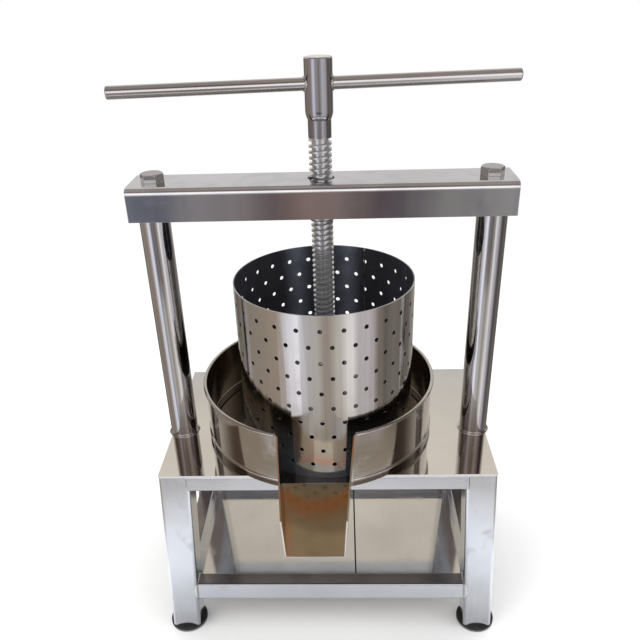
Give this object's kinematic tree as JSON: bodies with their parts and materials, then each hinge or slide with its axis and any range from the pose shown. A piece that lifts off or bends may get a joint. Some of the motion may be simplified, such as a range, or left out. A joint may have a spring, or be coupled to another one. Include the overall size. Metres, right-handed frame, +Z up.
{
  "type": "coconut press",
  "caption": "Free-standing hand screw press: perforated basket in a round tray with a pouring chute, on a splayed stand, pressed by a plate on a threaded spindle turned by a cross bar.",
  "frame": {"origin": "on the floor, under the middle of the part's footprint; the screw axis stands 20.2 mm behind it", "axes": "+Z up along the screw, +X to the right and -Y towards the chute as seen from the front"},
  "size_m": [0.4318, 0.3638, 0.6955],
  "materials": {
    "polished_stainless": "mirror polished stainless steel",
    "satin_stainless": "satin stainless steel tube",
    "stainless_sheet": "bright rolled stainless sheet",
    "turned_steel": "machined steel",
    "bronze": "machined bronze",
    "black_rubber": "matte rubber"
  },
  "bodies": {
    "frame": {"top_plate": "polished_stainless", "beam": "polished_stainless", "post_left": "polished_stainless", "post_right": "polished_stainless", "shelf_sheet_left": "polished_stainless", "shelf_sheet_right": "polished_stainless", "leg_front_left": "satin_stainless", "leg_front_right": "satin_stainless", "leg_rear_left": "satin_stainless", "leg_rear_right": "satin_stainless", "apron_front": "satin_stainless", "apron_rear": "satin_stainless", "apron_left": "satin_stainless", "apron_right": "satin_stainless", "lower_rail_front": "satin_stainless", "lower_rail_rear": "satin_stainless", "lower_rail_left": "satin_stainless", "lower_rail_right": "satin_stainless", "foot_front_left": "black_rubber", "foot_front_right": "black_rubber", "foot_rear_left": "black_rubber", "foot_rear_right": "black_rubber", "press_nut": "turned_steel", "post_plug_left": "turned_steel", "post_plug_right": "turned_steel", "beam_bolts": "turned_steel"},
    "tray": {"tray": "stainless_sheet", "tray_floor": "stainless_sheet", "chute": "stainless_sheet"},
    "basket": {"basket_wall": "stainless_sheet"},
    "press_foot": {"press_plate": "turned_steel", "swivel_cup": "turned_steel", "retaining_pins": "turned_steel", "thrust_disc": "bronze"},
    "screw": {"screw_spindle": "turned_steel", "handle_hub": "polished_stainless", "handle_bar": "polished_stainless"}
  },
  "joints": [
    {"name": "press_slide", "type": "slide", "parent": "frame", "child": "press_foot", "axis": [0, 0, 1], "range_m": [-0.046, 0.166]},
    {"name": "screw_turn", "type": "hinge", "parent": "press_foot", "child": "screw", "pos_m": [0, 0.0202, 0.6], "axis": [0, 0, 1], "range_deg": [-2770, 9970]},
    {"name": "basket_lift", "type": "slide", "parent": "frame", "child": "basket", "axis": [0, 0, 1], "range_m": [0, 0.073]},
    {"name": "tray_slide", "type": "slide", "parent": "frame", "child": "tray", "axis": [0, 1, 0], "range_m": [-0.044, 0.006]}
  ],
  "couplings": [
    {"joint": "screw_turn", "follows": "press_slide", "rad_per_m": 1047.2}
  ]
}
